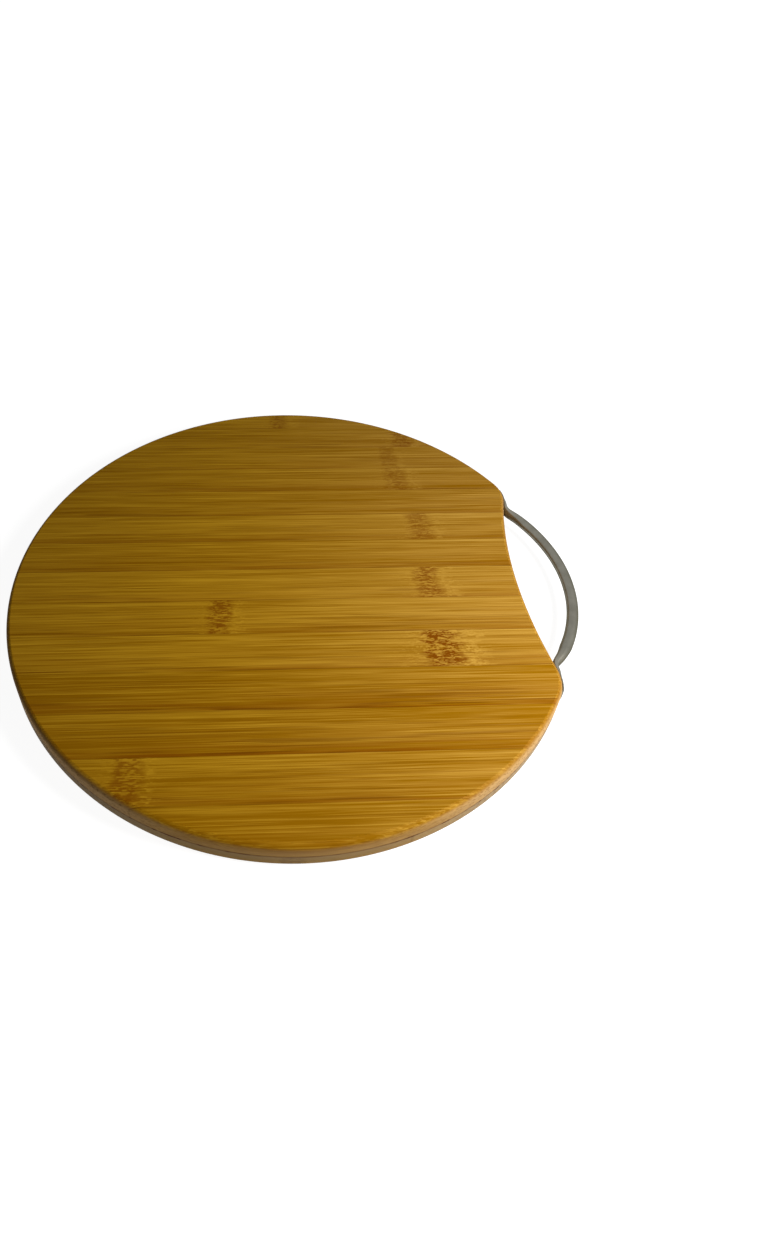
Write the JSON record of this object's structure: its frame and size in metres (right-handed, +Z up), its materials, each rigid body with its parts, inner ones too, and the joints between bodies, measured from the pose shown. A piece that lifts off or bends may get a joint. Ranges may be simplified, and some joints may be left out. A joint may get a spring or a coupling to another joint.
{
  "type": "round cutting board",
  "caption": "Round bamboo cutting board of two glued strip plies with rounded edges, a shallow concave cut on one side and a bent steel tube handle across it.",
  "frame": {"origin": "centre of the round board on its resting face", "axes": "+X from the board's centre to the handle, +Z up out of the cutting face"},
  "size_m": [0.3064, 0.3, 0.016],
  "materials": {
    "bamboo_upper": "oiled satin, strips glued edge to edge",
    "bamboo_lower": "sanded satin, strips glued edge to edge",
    "handle_steel": "satin stainless tube",
    "screw_steel": "bright plated"
  },
  "bodies": {
    "root": {"upper_strip_01": "bamboo_upper", "upper_strip_02": "bamboo_upper", "upper_strip_03": "bamboo_upper", "upper_strip_04": "bamboo_upper", "upper_strip_05": "bamboo_upper", "upper_strip_06": "bamboo_upper", "upper_strip_07": "bamboo_upper", "upper_strip_08": "bamboo_upper", "upper_strip_09": "bamboo_upper", "upper_strip_10": "bamboo_upper", "upper_strip_11": "bamboo_upper", "upper_strip_12": "bamboo_upper", "upper_strip_13": "bamboo_upper", "upper_strip_14": "bamboo_upper", "lower_strip_01": "bamboo_lower", "lower_strip_02": "bamboo_lower", "lower_strip_03": "bamboo_lower", "lower_strip_04": "bamboo_lower", "lower_strip_05": "bamboo_lower", "lower_strip_06": "bamboo_lower", "lower_strip_07": "bamboo_lower", "lower_strip_08": "bamboo_lower", "lower_strip_09": "bamboo_lower", "lower_strip_10": "bamboo_lower", "lower_strip_11": "bamboo_lower", "lower_strip_12": "bamboo_lower", "lower_strip_13": "bamboo_lower", "lower_strip_14": "bamboo_lower", "lower_strip_15": "bamboo_lower", "handle": "handle_steel", "handle_screws": "screw_steel"}
  },
  "joints": []
}
